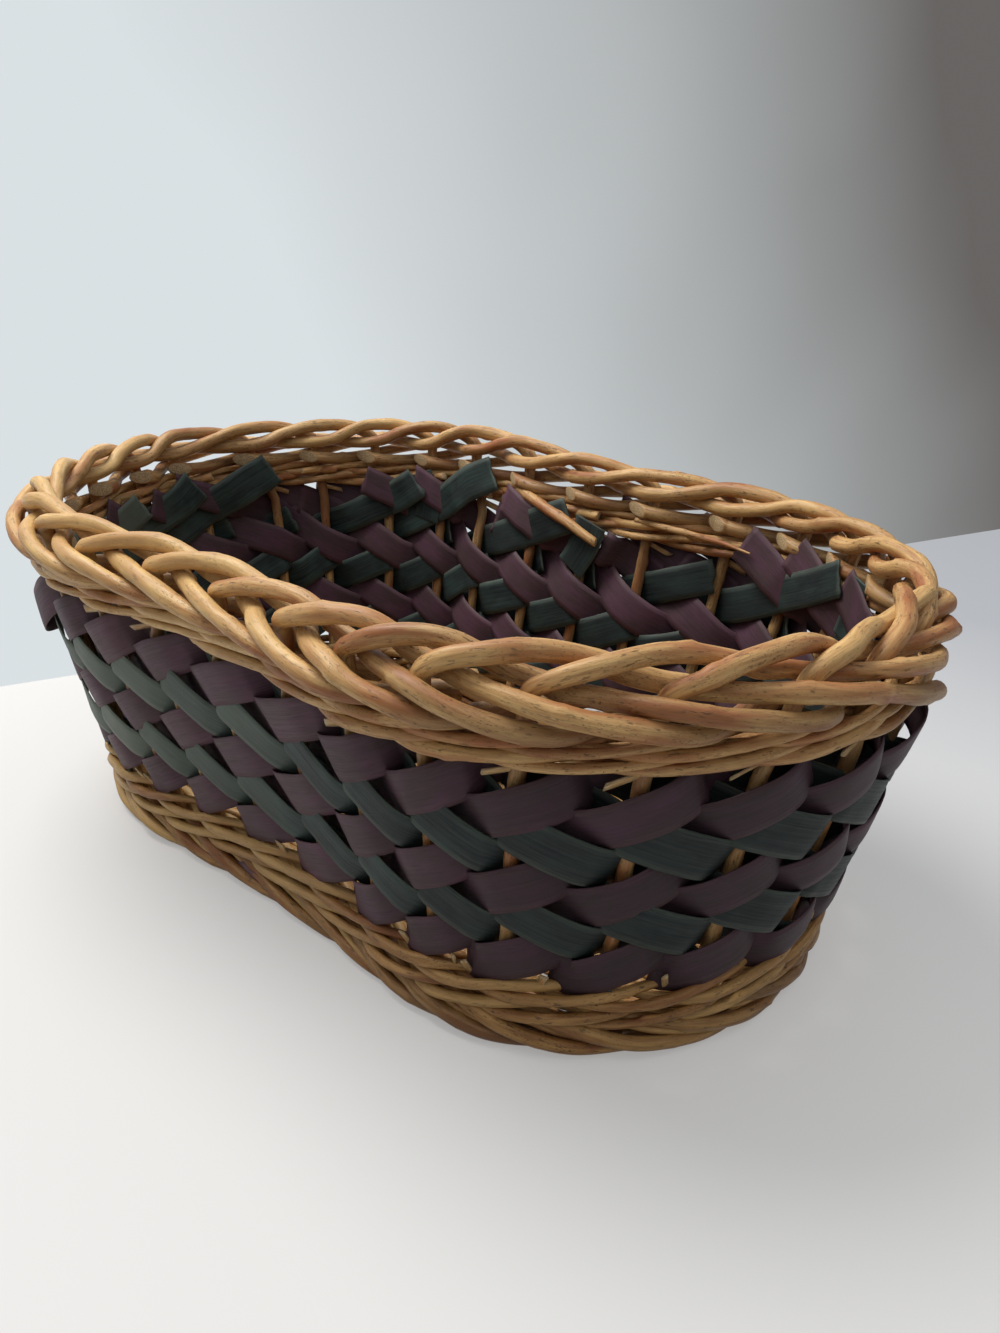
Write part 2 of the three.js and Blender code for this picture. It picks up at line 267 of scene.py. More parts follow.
def wall(turn, up):
    """Point of the wall line and its way out, at so many turns round and metres up."""
    s = shape()
    turn, up = np.broadcast_arrays(np.asarray(turn, float), np.asarray(up, float))
    share_up = up / s.height

    def between(foot, rim):
        low = foot / 2 - s.foot_reach
        return low + (rim / 2 - s.border_reach - low) * share_up

    half = between(s.foot_length, s.rim_length)
    lobe = between(s.foot_width, s.rim_width)
    waist = between(s.foot_waist, s.rim_waist)
    centre = half - lobe
    waist_radius = (centre**2 + waist**2 - lobe**2) / (2 * (lobe - waist))
    waist_centre = waist + waist_radius
    lean = np.arctan2(centre, waist_centre)
    lobe_arc = lobe * (np.pi / 2 + lean)
    quarter = lobe_arc + waist_radius * lean
    quarters = np.mod((uneven(turn, up) + FIRST_STAKE) / STAKES, 1.0) * 4
    quadrant = np.floor(quarters).astype(int)
    part = quarters - quadrant
    run = np.where(quadrant % 2 == 0, part, 1 - part) * quarter
    on_lobe = run <= lobe_arc
    a = run / lobe
    b = lean - (run - lobe_arc) / waist_radius
    x = np.where(on_lobe, centre + lobe * np.cos(a), waist_radius * np.sin(b))
    y = np.where(on_lobe, lobe * np.sin(a), waist_centre - waist_radius * np.cos(b))
    side_x = np.where((quadrant == 0) | (quadrant == 3), 1.0, -1.0)
    side_y = np.where(quadrant < 2, 1.0, -1.0)
    out_x = np.where(on_lobe, np.cos(a), -np.sin(b)) * side_x
    out_y = np.where(on_lobe, np.sin(a), np.cos(b)) * side_y
    wide = bellied(turn, up)
    return x * side_x + out_x * wide, y * side_y + out_y * wide, out_x, out_y


def on_wall(turn, up, out):
    """Points in metres from turns, and millimetres up and out."""
    turn, up, out = np.broadcast_arrays(
        np.asarray(turn, float), np.asarray(up, float) * MM, np.asarray(out, float) * MM
    )
    x, y, out_x, out_y = wall(turn, up)
    return np.stack([x + out_x * out, y + out_y * out, up], axis=-1)


def outward_at(turn, up):
    _, _, out_x, out_y = wall(turn, np.asarray(up, float) * MM)
    return np.stack([out_x, out_y, np.zeros_like(out_x)], axis=-1)


def curve(t, gap, start, slope, end, end_slope):
    """A cubic curve over a gap, from start to end, with these slopes there."""
    return (
        (2 * t**3 - 3 * t**2 + 1) * start
        + (t**3 - 2 * t**2 + t) * gap * slope
        + (3 * t**2 - 2 * t**3) * end
        + (t**3 - t**2) * gap * end_slope
    )


def smooth_run(keys, per_key=14):
    """A smooth run through rows of turn, up, out and any more values."""
    keys = np.asarray(keys, float)
    flat = keys[:, :3] * (SPACING, 1.0, 1.0)
    gaps = np.sqrt(np.linalg.norm(np.diff(flat, axis=0), axis=1)) + 1e-9
    slopes = np.diff(keys, axis=0) / gaps[:, None]
    tangents = np.empty_like(keys)
    tangents[0], tangents[-1] = slopes[0], slopes[-1]
    before, after = gaps[:-1, None], gaps[1:, None]
    tangents[1:-1] = (slopes[:-1] * after + slopes[1:] * before) / (before + after)
    t = np.linspace(0, 1, per_key, endpoint=False)[:, None]
    rows = [
        curve(t, gap, keys[i], tangents[i], keys[i + 1], tangents[i + 1]) for i, gap in enumerate(gaps)
    ]
    return np.concatenate([*rows, keys[-1:]])


def even_steps(points, step, *values):
    """The same run and its values, at even steps along its length."""
    travelled = np.concatenate([[0], np.cumsum(np.linalg.norm(np.diff(points, axis=0), axis=1))])
    count = max(int(travelled[-1] / step), 4) + 1
    at = np.linspace(0, travelled[-1], count)
    spaced = np.stack([np.interp(at, travelled, points[:, i]) for i in range(3)], axis=1)
    rest = [np.interp(at, travelled, np.broadcast_to(value, travelled.shape)) for value in values]
    return spaced, at, *rest


def periodic(places, turn):
    """A smooth closed curve through (turn, place) pairs over two turns."""
    knots = np.array(places)
    count = len(knots)
    at = np.concatenate([knots[:, 0] - 2, knots[:, 0], knots[:, 0] + 2, [4.0]])
    value = np.concatenate([knots[:, 1], knots[:, 1], knots[:, 1], knots[:1, 1]])
    slope = np.gradient(value, at)
    turn = np.mod(turn, 2.0)
    i = np.clip(np.searchsorted(at, turn, side="right") - 1, count - 1, 2 * count)
    gap = at[i + 1] - at[i]
    return curve((turn - at[i]) / gap, gap, value[i], slope[i], value[i + 1], slope[i + 1])


# Bark of a rod, in millimetres: its waves, how much they sway, and gaps between nodes
SWAY_WAVES = (23, 41, 67)
SWAY_SHARE = 130
NODE_GAPS = (24, 46)
FIRST_NODE = (4, 34)
# A cut end: size of its flat, how far it stands out, and how long a trimmed cut is
CUT_FLAT = 0.86
CUT_DEPTH = 0.25
LONG_CUT = 1.7


class Weave:
    """Collects rods or strips, with the coordinates of their grain, into one mesh."""

    def __init__(self, seed):
        self.chance = np.random.default_rng(seed + shape().seed * 1000)
        self.points, self.faces = [], []
        self.grain, self.tone, self.cut = [], [], []
        self.count = 0

    def add(self, points, faces, grain, tone, cut):
        self.points.append(points)
        self.grain.append(grain)
        self.tone.append(tone)
        self.cut.append(cut)
        self.faces.extend([tuple(int(j) + self.count for j in face) for face in faces])
        self.count += len(points)

    def rod(self, points, radii, tone=0.0, sides=12, crooked=0.35, slant=0.5, step=1.9, trimmed=None):
        """A willow rod along points, with nodes, a slightly uneven bark and slanting cut ends.

        A last end that is trimmed has a long cut that faces the given way.
        """
        chance = self.chance
        points, at, radii, tone = even_steps(points, step * MM, radii, tone)
        count = len(points)
        at = at / MM
        sway = np.zeros((count, 3))
        for wave in SWAY_WAVES:
            turn = chance.uniform(0, 2 * np.pi, 3)
            sway += np.sin(at[:, None] * 2 * np.pi / wave + turn) * crooked * wave / SWAY_SHARE * MM
        ease = np.minimum(1, np.minimum(at, at[-1] - at) / 12)[:, None]
        points = points + sway * ease
        along = np.gradient(points, axis=0)
        along /= np.linalg.norm(along, axis=1)[:, None]
        side = np.cross(along[0], (0.3, 0.2, 0.93))
        side /= np.linalg.norm(side)
        sides_along = [side]
        for i in range(1, count):
            side = side - along[i] * side.dot(along[i])
            side = side / np.linalg.norm(side)
            sides_along.append(side)
        first = np.array(sides_along)
        second = np.cross(along, first)
        angle = np.linspace(0, 2 * np.pi, sides, endpoint=False)
        swell = np.ones((count, sides))
        lumps = chance.uniform(0, 2 * np.pi, 6)
        down = at[:, None]
        swell += 0.035 * np.sin(2 * angle + lumps[0] + down / 19)
        swell += 0.025 * np.sin(3 * angle + lumps[1] - down / 11)
        swell += 0.03 * np.sin(down / 8.3 + lumps[2]) + 0.03 * np.sin(down / 4.1 + lumps[3])
        node = chance.uniform(*FIRST_NODE)
        while node < at[-1]:
            ring = np.exp(-(((at - node) / 1.7) ** 2))[:, None]
            bud = np.maximum(0, np.cos(angle - chance.uniform(0, 2 * np.pi))) ** 5
            swell += ring * (0.055 + 0.2 * bud)
            node += chance.uniform(*NODE_GAPS)
        reach = radii[:, None] * swell
        rings = (
            points[:, None]
            + first[:, None] * (np.cos(angle) * reach)[..., None]
            + second[:, None] * (np.sin(angle) * reach)[..., None]
        )
        ends = ((0, -1.0), (count - 1, 1.0))
        for end, way in ends:
            lean = np.cos(angle - chance.uniform(0, 2 * np.pi)) * slant * radii[end]
            if way > 0 and trimmed is not None:
                facing = first[end].dot(trimmed), second[end].dot(trimmed)
                lean = -(np.cos(angle) * facing[0] + np.sin(angle) * facing[1])
                lean = lean * LONG_CUT * radii[end]
            keep = min(4, count // 3)
            for back in range(keep):
                ring = end - int(way) * back
                fade = 1 - back / keep
                rings[ring] += along[end] * (lean * fade)[:, None]
        offset = chance.uniform(0, 900, 3)
        section = np.cos(angle) * radii[:, None] / MM, np.sin(angle) * radii[:, None] / MM
        body = np.stack(np.broadcast_arrays(at[:, None], *section), axis=-1)
        grain = (body + offset).reshape(-1, 3)
        verts = rings.reshape(-1, 3)
        faces = []
        for ring in range(0, (count - 1) * sides, sides):
            for j in range(sides):
                a, b = ring + j, ring + (j + 1) % sides
                faces.append((a, b, b + sides, a + sides))
        extra, extra_grain = [], []
        base = len(verts)
        for end, way in ends:
            middle = rings[end].mean(axis=0)
            push = along[end] * way * CUT_DEPTH * MM
            start = base + len(extra)
            extra.extend(middle + (rings[end] - middle) * CUT_FLAT + push)
            extra.append(middle + push)
            extra_grain.extend(body[end] * CUT_FLAT + offset + (way * 3, 0, 0))
            extra_grain.append((at[end] + offset[0] + way * 3, offset[1], offset[2]))
            hub, ring = start + sides, end * sides
            for j in range(sides):
                a, b = (j, (j + 1) % sides)[:: int(way)]
                faces.append((ring + a, ring + b, start + b, start + a))
                faces.append((start + a, start + b, hub))
        verts = np.concatenate([verts, extra])
        grain = np.concatenate([grain, extra_grain])
        cut = np.repeat((0.0, 1.0), (base, len(extra)))
        tones = np.concatenate([np.repeat(tone, sides), np.full(len(extra), tone.mean())])
        self.add(verts, faces, grain, tones, cut)

    def rod_on_wall(self, run, **look):
        """A rod along rows of turn, up, out and radius."""
        self.rod(on_wall(run[:, 0], run[:, 1], run[:, 2]), run[:, 3] * MM, **look)

    def strip(self, rows, width, tone=0.0, across=6, ragged=0.8):
        """A flat chip strip along rows of turn, up, out and twist. Its ends are cut a little askew."""
        s, chance = shape(), self.chance
        rows = np.asarray(rows, float)
        ahead, rising = np.gradient(rows[:, 0]) * SPACING, np.gradient(rows[:, 1])
        step = np.hypot(ahead, rising)
        level, climb = ahead / step, rising / step
        v = np.linspace(-1, 1, across + 1)
        half = width / MM / 2
        turn = rows[:, :1] - v * half * climb[:, None] / SPACING
        up = rows[:, 1:2] + v * half * level[:, None]
        out = rows[:, 2:3] + v * rows[:, 3:4]
        for end, inner in ((0, 1), (-1, -2)):
            askew = chance.uniform(-ragged, ragged) * v
            askew = askew + chance.normal(0, 0.25, across + 1) * ragged
            turn[end] += (turn[end] - turn[inner]) * askew
            up[end] += (up[end] - up[inner]) * askew
        middle = on_wall(turn, up, out)
        count, wide = middle.shape[:2]
        normal = np.cross(np.gradient(middle, axis=0), np.gradient(middle, axis=1))
        normal /= np.linalg.norm(normal, axis=-1)[..., None] + 1e-12
        outward = outward_at(rows[:, 0], rows[:, 1])
        flip = np.sign(np.sum(normal * outward[:, None], axis=-1).mean())
        thick = s.strip_thickness / 2 * np.where(np.abs(v) > 0.97, 0.55, 1.0)
        lift = normal * flip * thick[None, :, None]
        verts = np.concatenate([(middle + lift).reshape(-1, 3), (middle - lift).reshape(-1, 3)])
        travelled = np.concatenate([[0], np.cumsum(step[1:])])
        top = np.stack(np.broadcast_arrays(travelled[:, None], v * half, 0.0), axis=-1).reshape(-1, 3)
        grain = np.concatenate([top, top + (0, 0, 37.0)]) + chance.uniform(0, 900, 3)
        edge = np.broadcast_to(np.clip((np.abs(v) - 0.8) / 0.2, 0, 1), (count, wide)).copy()
        edge[0], edge[-1] = 1, 1
        faces = []
        total = count * wide
        for i in range(count - 1):
            for j in range(wide - 1):
                a, b = i * wide + j, i * wide + j + 1
                quad = (a, a + wide, b + wide, b) if flip > 0 else (a, b, b + wide, a + wide)
                faces.append(quad)
                faces.append(tuple(k + total for k in reversed(quad)))
        rim = [i * wide for i in range(count)]
        rim += [(count - 1) * wide + j for j in range(1, wide)]
        rim += [i * wide + wide - 1 for i in range(count - 2, -1, -1)]
        rim += list(range(wide - 2, 0, -1))
        for a, b in zip(rim, rim[1:] + rim[:1]):
            faces.append((a, b, b + total, a + total) if flip < 0 else (a, a + total, b + total, b))
        tones = np.tile(np.repeat(np.broadcast_to(tone, count), wide), 2)
        self.add(verts, faces, grain, tones, np.tile(edge.reshape(-1), 2))

    def make(self, name, finish, slot, nodes):
        """One object of all that was collected, in place of the named nodes."""
        mesh = bpy.data.meshes.new(name)
        verts = np.concatenate(self.points)
        mesh.from_pydata(verts.tolist(), [], self.faces)
        mesh.update()
        for key, rows in (("grain", self.grain), ("tone", self.tone), ("cut", self.cut)):
            kind, field = ("FLOAT_VECTOR", "vector") if key == "grain" else ("FLOAT", "value")
            layer = mesh.attributes.new(key, kind, "POINT")
            layer.data.foreach_set(field, np.concatenate(rows).astype(np.float32).ravel())
        mesh.polygons.foreach_set("use_smooth", [True] * len(mesh.polygons))
        mesh.materials.append(material(finish))
        piece = placed(name, mesh)
        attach(piece, "root")
        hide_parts(*nodes)


# Materials


class Nodes:
    """Short calls for the nodes of a material or of the world."""

    def __init__(self, owner):
        owner.use_nodes = True
        self.owner = owner
        self.tree = owner.node_tree
        self.shader = self.tree.nodes.get("Principled BSDF")

    def feed(self, socket, value):
        """Sets a socket to a number or a colour, or links another node to it."""
        if isinstance(value, (int, float)):
            socket.default_value = value
        elif isinstance(value, tuple) or hasattr(value, "r"):
            socket.default_value = (*value, 1.0)
        else:
            self.tree.links.new(value, socket)

    def add(self, kind, inputs=None, **values):
        node = self.tree.nodes.new(kind)
        for key, value in values.items():
            setattr(node, key, value)
        for key, value in (inputs or {}).items():
            self.feed(node.inputs[key], value)
        return node

    def look(self, inputs):
        for key, value in inputs.items():
            self.feed(self.shader.inputs[key], value)

    def grown(self):
        """The values that come with each rod or strip: grain, tone and cut."""
        nodes = [self.add("ShaderNodeAttribute", attribute_name=key) for key in ("grain", "tone", "cut")]
        return nodes[0].outputs["Vector"], nodes[1].outputs["Fac"], nodes[2].outputs["Fac"]

    def noise(self, vector, scales, detail=3.0, roughness=0.55):
        mapping = self.add("ShaderNodeMapping", {"Vector": vector})
        mapping.inputs["Scale"].default_value = scales
        values = {"Scale": 1.0, "Detail": detail, "Roughness": roughness}
        node = self.add("ShaderNodeTexNoise", {"Vector": mapping.outputs["Vector"], **values})
        return node.outputs["Fac"]

    def ramp(self, factor, low, high, first=0.0, last=1.0):
        ends = {"From Min": low, "From Max": high, "To Min": first, "To Max": last}
        return self.add("ShaderNodeMapRange", {"Value": factor, **ends}).outputs["Result"]

    def math(self, operation, a, b):
        node = self.add("ShaderNodeMath", operation=operation)
        for socket, value in zip(node.inputs, (a, b)):
            self.feed(socket, value)
        return node.outputs["Value"]

    def mix(self, factor, a, b, blend="MIX"):
        node = self.add("ShaderNodeMix", data_type="RGBA", blend_type=blend)
        sockets = {s.identifier: s for s in node.inputs}
        for key, value in (("Factor_Float", factor), ("A_Color", a), ("B_Color", b)):
            self.feed(sockets[key], value)
        return next(s for s in node.outputs if s.identifier == "Result_Color")

    def bump(self, height, strength, distance):
        values = {"Strength": strength, "Distance": distance, "Height": height}
        return self.add("ShaderNodeBump", values).outputs["Normal"]


# Further colours: pale willow that also stands for painted light, weathered willow that also stands for
# painted shade, old cut willow, dark dye for grain and painted shade, and faded dyes that also stand for
# painted light
PAINTED_LIGHT_AND_PALE = (0.80, 0.56, 0.22)
PAINTED_SHADE_AND_WEATHERED = (0.15, 0.09, 0.04)
OLD_CUT = (0.30, 0.19, 0.09)
DARK_GRAIN_AND_PAINTED_SHADE = (0.010, 0.008, 0.009)
PALE_PURPLE_AND_PAINTED_LIGHT = (0.135, 0.07, 0.077)
PALE_GREEN_AND_PAINTED_LIGHT = (0.16, 0.185, 0.145)
# What a warm patch keeps of the deep colour
WARMTH = (0.82, 0.52, 0.46)


def willow(name, pale, deep, specks):
    """Peeled willow: long streaks, warm patches, dark specks and scars, paler cut ends."""
    c = colours()
    n = Nodes(bpy.data.materials.new(name))
    grain, tone, cut = n.grown()
    streaks = n.noise(grain, (0.05, 0.75, 0.75), detail=5.0)
    patches = n.noise(grain, (0.03, 0.16, 0.16))
    fine = n.noise(grain, (0.22, 2.6, 2.6), detail=4.0)
    scars = n.noise(grain, (0.26, 0.95, 0.95), roughness=0.7)
    dots = n.noise(grain, (1.0, 2.0, 2.0), detail=2.0)
    where = n.noise(grain, (0.045, 0.1, 0.1), detail=2.0)
    tint = n.mix(n.ramp(streaks, 0.3, 0.68), deep, pale)
    warm = tuple(value * kept for value, kept in zip(deep, WARMTH))
    tint = n.mix(n.ramp(patches, 0.44, 0.64, 0.0, 0.9), tint, warm)
    tint = n.mix(n.ramp(fine, 0.5, 0.75, 0.0, 0.4), tint, c.willow_dark)
    tint = n.mix(n.ramp(scars, 0.58, 0.68, 0.0, 0.85 * specks), tint, c.willow_dark)
    freckled = n.ramp(where, 0.46, 0.62, 0.06, 0.9 * specks)
    freckles = n.math("MULTIPLY", n.ramp(dots, 0.6, 0.67), freckled)
    tint = n.mix(freckles, tint, c.willow_dark)
    lighter = n.mix(0.35, tint, PAINTED_LIGHT_AND_PALE)
    darker = n.mix(0.5, tint, PAINTED_SHADE_AND_WEATHERED)
    # Tone above zero mixes in the pale colour: random paler rods, and painted light on the lit left end.
    # Tone below zero mixes in the weathered colour: random darker rods, and painted shade on the stakes
    # under the border.
    tint = n.mix(n.ramp(tone, 0.0, 1.0), tint, lighter)
    tint = n.mix(n.ramp(tone, 0.0, -1.0), tint, darker)
    ends = n.mix(n.ramp(fine, 0.4, 0.6), c.willow_cut, OLD_CUT)
    dents = n.ramp(scars, 0.58, 0.72, 0.0, 0.6)
    height = n.math("SUBTRACT", n.math("MULTIPLY", streaks, 0.6), dents)
    height = n.math("ADD", height, n.math("MULTIPLY", fine, 0.35))
    n.look({
        "Base Color": n.mix(cut, tint, ends),
        "Roughness": n.ramp(streaks, 0.3, 0.7, 0.52, 0.4),
        "Specular IOR Level": 0.33,
        "Normal": n.bump(height, 0.5, 0.0004),
    })
    return n.owner


def dyed_chip(name, base, bright, pale):
    """Dyed wood chip: grain along the strip, faded and brighter places, rubbed edges."""
    n = Nodes(bpy.data.materials.new(name))
    grain, tone, cut = n.grown()
    streaks = n.noise(grain, (0.03, 1.5, 1.0), detail=5.0, roughness=0.65)
    fine = n.noise(grain, (0.12, 5.5, 1.0))
    cloud = n.noise(grain, (0.055, 0.12, 0.1))
    tint = n.mix(n.ramp(cloud, 0.42, 0.66), base, bright)
    tint = n.mix(n.ramp(streaks, 0.35, 0.72, 0.0, 0.25), tint, pale)
    darker = n.mix(0.7, tint, DARK_GRAIN_AND_PAINTED_SHADE)
    tint = n.mix(n.ramp(fine, 0.5, 0.3, 0.0, 0.7), tint, darker)
    # Tone above zero mixes in the faded colour, for paler pieces and for painted light on the lit left
    # end. Tone below zero mixes in the darker dye, for darker pieces and for painted shade on the near
    # right and round the right end.
    tint = n.mix(n.ramp(tone, 0.0, 1.0, 0.0, 0.75), tint, pale)
    tint = n.mix(n.ramp(tone, 0.0, -1.0, 0.0, 0.8), tint, darker)
    rubbed = n.math("MULTIPLY", cut, n.ramp(fine, 0.4, 0.6, 0.1, 0.45))
    height = n.math("ADD", streaks, n.math("MULTIPLY", fine, 0.5))
    n.look({
        "Base Color": n.mix(rubbed, tint, pale),
        "Roughness": n.ramp(streaks, 0.3, 0.7, 0.6, 0.46),
        "Specular IOR Level": 0.2,
        "Normal": n.bump(height, 0.45, 0.0003),
    })
    return n.owner


def material(key):
    """The finishes, each made once."""
    if key in bpy.data.materials:
        return bpy.data.materials[key]
    c = colours()
    make, *values = {
        "border_willow": (willow, c.willow_pale, c.willow_tan, 0.9),
        "golden_willow": (willow, c.willow_straw, c.willow_gold, 1.0),
        "purple_chip": (dyed_chip, c.purple, c.purple_bright, PALE_PURPLE_AND_PAINTED_LIGHT),
        "green_chip": (dyed_chip, c.green, c.green_bright, PALE_GREEN_AND_PAINTED_LIGHT),
    }[key]
    return make(key, *values)


# Pieces


# Turns at which the top of the border was worked higher, and by how many millimetres
RAISED = (
    (6, 0), (8, 2), (10.5, 2), (12.5, 0),
    (22.5, 0), (24.5, 2.5), (27.5, 2.5), (29, 0),
)
# How much of that reaches a stroke so many millimetres down from the top
RAISED_BY_DROP = ((7, 1), (14, 0))
# Strokes that were cut short: the cut end's turns onward, millimetres up and out
CUT_SHORT = {25: (5, 116, 9.5), 28: (2.4, 142.5, -0.5)}
CUT_ROOM = 0.8
# Where a new rod goes on after such a cut, in turns onward
NEW_ROD = {28: 2.3}
# Levels of a stake's lower rows
STAKE_LEVELS = (12.5, 60, 100)
# Tone of a stake by millimetres up, darker in the shade of the border
STAKE_TONES = ((88, -0.4), (108, -1.4), (124, -1))
BORDER_LEVEL = 131.0
# Painted light: the left end, toward the lamp, is painted a paler gold, by turns, and for stakes by
# millimetres up
PAINTED_LIGHT_BY_TURN = ((14, 0), (17, 1), (22, 0.8), (25, 0))
PAINTED_LIGHT_BY_HEIGHT = ((110, 0), (124, 1))
PAINTED_LIGHT_ON_RIM = 0.8


def painted_light_share(turns):
    """How much painted light the willow gets, as a paler gold on its lit left end."""
    return from_table(np.mod(turns, STAKES), PAINTED_LIGHT_BY_TURN)


def stake_and_stroke(number):
    s = shape()
    w = Weave(number)
    chance = w.chance
    thick = s.stake_radius / MM
    full = s.stroke_radius / MM * chance.uniform(0.93, 1.07)
    top = s.height / MM
    rows = [(number, level, 0.0, thick) for level in STAKE_LEVELS]
    lift = chance.uniform(-0.5, 0.4)
    for onward, out, drop, share in STROKE:
        late = onward + (chance.uniform(-0.04, 0.04) if 0.1 < onward < 3.9 else 0.0)
        raised = from_table((number + onward) % STAKES, RAISED) * from_table(drop, RAISED_BY_DROP)
        level = top - drop + lift * min(1, onward * 2) + raised
        rows.append((number + late, level, out, thick + (full - thick) * share))
    inward = -outward_at(rows[-1][0], rows[-1][1])
    if number in NEW_ROD:
        rest = [row for row in rows if row[0] > number + NEW_ROD[number]]
        w.rod_on_wall(smooth_run(rest), tone=-0.2, sides=14, trimmed=inward)
    if number in CUT_SHORT:
        last, level, out = CUT_SHORT[number]
        rows = [row for row in rows if row[0] < number + last - CUT_ROOM]
        rows.append((number + last, level, out, rows[-1][3]))
        inward = None
    run = smooth_run(rows)
    tones = from_table(run[:, 1], (*STAKE_TONES, (BORDER_LEVEL, chance.uniform(-0.5, 0.7))))
    # Painted light: stake tops on the lit left end are painted paler
    tones = tones + PAINTED_LIGHT_ON_RIM * painted_light_share(run[:, 0]) * from_table(run[:, 1], PAINTED_LIGHT_BY_HEIGHT)
    w.rod_on_wall(run, tone=tones, sides=14, trimmed=inward)
    for foot, tip, share in SLIVERS:
        if chance.uniform() < share:
            shift = chance.uniform(-0.05, 0.05)
            foot, tip = (
                np.array((number + turn + shift, up + chance.uniform(-0.7, 0.7), out))
                for turn, up, out in (foot, tip)
            )
            along = np.linspace(0, 1, 6)[:, None]
            rows = foot * (1 - along) + tip * along
            rows = np.concatenate([rows, np.full((6, 1), chance.uniform(-0.6, 0.6))], axis=1)
            width = chance.uniform(1.8, 3.2) * MM
            w.strip(rows, width, chance.uniform(0.2, 0.9), across=2, ragged=0.5)
    name = f"stake_{number + 1:02d}"
    w.make(f"willow_{name}", "border_willow", "willow_light", [name])


def wale_rod(w, level, first, begin, end, rise, swing, radius, tone):
    """One rod of the waling, from butt to tip, over so many spans of three stakes."""
    keys = []
    for span in range(begin, end + 1):
        for onward, out, up in WALE:
            place = span * SPAN + onward
            if begin * SPAN + 1.7 <= place <= end * SPAN + 2.4:
                keys.append((place, out, up))
    first_place, last_place = keys[0][0], keys[-1][0]
    rows = []
    for place, out, up in keys:
        share = (place - first_place) / (last_place - first_place)
        fat = radius * (1.12 - 0.3 * share)
        jitter = w.chance.normal(0, 0.22, 2)
        rows.append((place + first, level + up * rise + jitter[0], out * swing + jitter[1], fat))
    for at, moves in ((0, BUTT), (-1, TIP)):
        rows[at] = tuple(value + move for value, move in zip(rows[at], moves))
    run = smooth_run(rows, 10)
    # Painted light: rods on the lit left end are painted paler
    w.rod_on_wall(run, tone=tone + PAINTED_LIGHT_ON_RIM * painted_light_share(run[:, 0]), sides=10, crooked=0.2)


# Loose ends that hang inside: turns, millimetres up and out, and radius
STRAY_ENDS = {
    "upper_wale_row1_rod1": (
        (6.15, 122, -4.6, 1.5), (5.6, 121.6, -8, 1.45),
        (5.1, 121, -9.6, 1.2), (4.5, 119.6, -10.2, 0.45),
    ),
    "upper_wale_row1_rod2": (
        (8.1, 122.5, -4.4, 2.4), (7.6, 119.5, -8.6, 2.7),
        (7.1, 115, -10.4, 2.7), (6.62, 109.6, -10.4, 2),
    ),
}


def waling(name):
    """Two rows of three rods that go round together. Each rod is laid in three lengths."""
    s = shape()
    seed, lowest, pitch, rise, finish, slot, tones = WALINGS[name]
    radius = s.wale_radius / MM
    swing = s.stake_radius / MM + radius + 0.2
    spans = STAKES // SPAN
    for row in range(2):
        for first in range(SPAN):
            node = f"{name}_row{row + 1}_rod{first + 1}"
            w = Weave(seed + row * 10 + first)
            cuts = sorted(w.chance.choice(np.arange(spans), 3, replace=False))
            for i, begin in enumerate(cuts):
                end = cuts[i + 1] if i < 2 else cuts[0] + spans
                wale_rod(
                    w, lowest + row * pitch, first, int(begin), int(end), rise, swing,
                    radius * w.chance.uniform(0.9, 1.1), w.chance.uniform(*tones),
                )
            if node in STRAY_ENDS:
                w.rod_on_wall(smooth_run(STRAY_ENDS[node]), tone=-0.1, sides=10)
            w.make(f"willow_{node}", finish, slot, [node])


# Turns at which the strips stand off the wall more, and by what share
SWELL = (
    (0, 0.4), (1.5, 0.3), (3, 0), (16, 0), (18, 0.2),
    (20, 0), (27.5, 0), (29, 0.4), (30, 0.4),
)
# Purple strips that have come away: number, turns onward, millimetres out and down
COME_AWAY = {14: (3.8, 6.5, 6.5), 26: (4.3, 2, 0)}
COME_AWAY_TURNS = 0.38
# Upper ends of the strips that differ: strip number and how far it goes on along its own way
PURPLE_ENDS = {
    27: 5.65, 28: 5.9, 29: 5.72, 0: 5.6, 1: 5.68, 2: 4.62, 3: 5.35,
    4: 4.65, 5: 5.35, 6: 5.3, 7: 5.1, 8: 5.5, 9: 5.5, 12: 5.3,
}
GREEN_ENDS = {
    3: 0.7, 4: -1.3, 5: 0.02, 6: 0.7, 7: 0.7, 8: -0.9, 9: 0.7,
    10: -1.5, 11: -0.75, 12: 0.7, 13: 0.7, 14: -1.2, 15: -0.95,
}
# These pass outside the last stake instead of inside it
PURPLE_OUTSIDE = (0, 1, 7, 8)
# Green ends that are folded over and hang down: turns, millimetres up and out
FLAPS = (
    ((10.2, 121, -7.4), (10.12, 112, -6.6), (10.2, 97, -5.2)),
    ((6.78, 117, -7.4), (6.86, 108, -6.8), (7.08, 93.5, -5.4)),
    ((2.3, 127, -7.6), (2.32, 117, -6.6), (2.42, 101, -5.4)),
)
FLAP_WIDTH = 1.05
# A purple scrap that clings to the foot, in the same way, and its share of a strip's width
SCRAP = ((21.5, 10.4, 4.9), (21.75, 9.2, 6.6), (22.05, 8.3, 6.3))
SCRAP_WIDTH = 0.22
# How much paler or darker the strips are painted, by turns round the basket: painted light on the lit
# left end, painted shade on the near right and round the right end
PURPLE_PAINTED_LIGHT = (
    (0, -0.6), (3, -0.1), (8, -0.1), (15, 0), (18, 0.2), (21, 0.1), (24, -0.2), (27, -0.9),
)
GREEN_PAINTED_LIGHT = (
    (0, -1.2), (3, -0.8), (8, -0.8), (14, 0), (17, 1.1),
    (20, 0.9), (22, 0.4), (23.5, -0.2), (25, -0.9), (27, -1.3),
)


